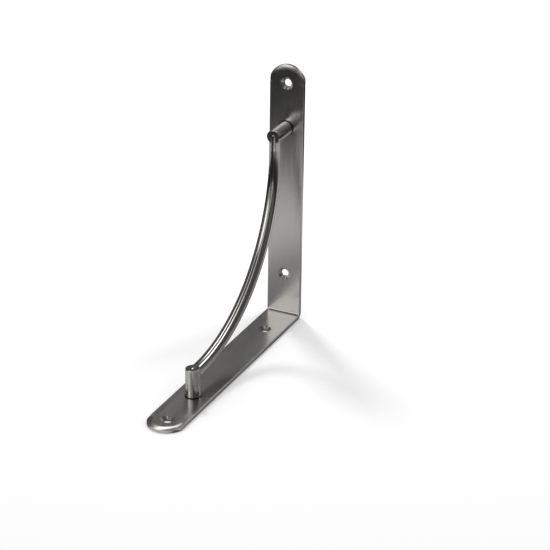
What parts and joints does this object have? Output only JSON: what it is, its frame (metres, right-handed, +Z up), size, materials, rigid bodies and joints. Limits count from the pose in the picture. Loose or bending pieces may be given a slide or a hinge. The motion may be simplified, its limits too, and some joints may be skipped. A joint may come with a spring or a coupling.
{
  "type": "shelf bracket",
  "caption": "Fixed right-angle shelf bracket in brushed steel: a bent strap with countersunk screw holes, braced by an arched round rod held on short round posts.",
  "frame": {"origin": "on the plane the lying arm rests on, under the middle of that arm: the bottom centre of the bracket's box", "axes": "+X along the lying arm from the corner to its tip, +Y across the strap's width, +Z up the upright arm"},
  "size_m": [0.2, 0.027, 0.2],
  "materials": {
    "brushed_strap": "satin, brushed along the strap",
    "satin_round": "satin, finely polished round bar"
  },
  "bodies": {
    "root": {"strap": "brushed_strap", "upper_post": "satin_round", "lower_post": "satin_round", "arched_rod": "satin_round"}
  },
  "joints": []
}
